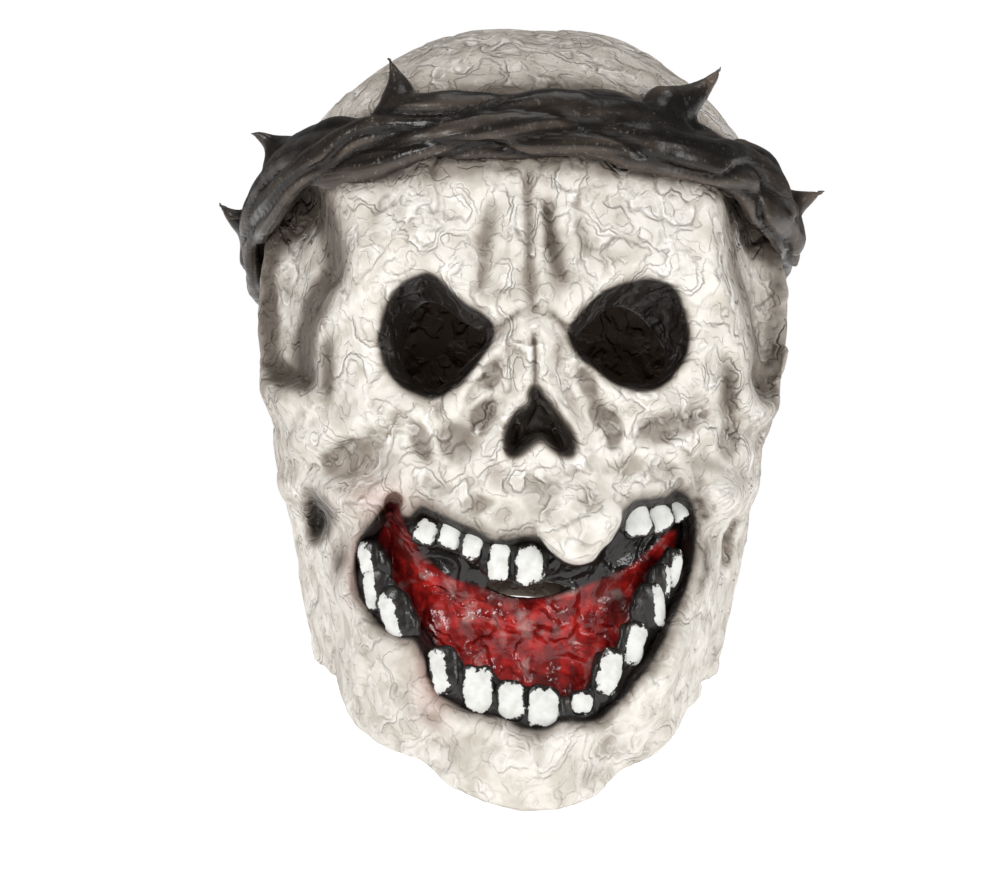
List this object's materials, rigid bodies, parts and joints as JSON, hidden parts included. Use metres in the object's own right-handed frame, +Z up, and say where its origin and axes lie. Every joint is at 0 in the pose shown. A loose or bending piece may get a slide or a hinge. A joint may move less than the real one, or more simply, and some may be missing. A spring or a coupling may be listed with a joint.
{
  "type": "latex halloween mask",
  "caption": "Full-head latex skull mask with a hinged lower jaw, separate teeth, a red mouth lining and a twisted thorn circlet.",
  "frame": {"origin": "middle of the head cavity, in the mid-plane and level with the middle of the eye holes", "axes": "+Z up towards the crown, the face looks along -Y, +X to a viewer's right when looking at the face"},
  "size_m": [0.227, 0.254, 0.283],
  "materials": {
    "bone_latex": "matte",
    "bramble_latex": "satin",
    "gum_latex": "glossy",
    "tooth_paint": "satin",
    "lining_latex": "glossy"
  },
  "bodies": {
    "head": {"bramble_stem_a": "bramble_latex", "bramble_stem_b": "bramble_latex", "bramble_stem_c": "bramble_latex", "cheek_web_left": "bone_latex", "cheek_web_right": "bone_latex", "mouth_lining": "lining_latex", "skull_front": "bone_latex", "skull_rear": "bone_latex", "thorn_1": "bramble_latex", "thorn_2": "bramble_latex", "thorn_3": "bramble_latex", "thorn_4": "bramble_latex", "thorn_5": "bramble_latex", "thorn_6": "bramble_latex", "thorn_7": "bramble_latex", "thorn_8": "bramble_latex", "thorn_9": "bramble_latex", "upper_gum": "gum_latex", "upper_tooth_1": "tooth_paint", "upper_tooth_2": "tooth_paint", "upper_tooth_3": "tooth_paint", "upper_tooth_4": "tooth_paint", "upper_tooth_5": "tooth_paint", "upper_tooth_6": "tooth_paint", "upper_tooth_7": "tooth_paint", "upper_tooth_8": "tooth_paint"},
    "jaw": {"jaw_skin": "bone_latex", "lower_gum": "gum_latex", "lower_tooth_1": "tooth_paint", "lower_tooth_10": "tooth_paint", "lower_tooth_11": "tooth_paint", "lower_tooth_12": "tooth_paint", "lower_tooth_13": "tooth_paint", "lower_tooth_2": "tooth_paint", "lower_tooth_3": "tooth_paint", "lower_tooth_4": "tooth_paint", "lower_tooth_5": "tooth_paint", "lower_tooth_6": "tooth_paint", "lower_tooth_7": "tooth_paint", "lower_tooth_8": "tooth_paint", "lower_tooth_9": "tooth_paint"}
  },
  "joints": [
    {"name": "jaw_hinge", "type": "hinge", "parent": "head", "child": "jaw", "pos_m": [0, 0, -0.035], "axis": [1, 0, 0], "range_deg": [0, 8], "stiffness_Nm_per_rad": 2, "springref_deg": -5.73, "deforming": ["mouth_lining", "cheek_web_right", "cheek_web_left"]}
  ]
}
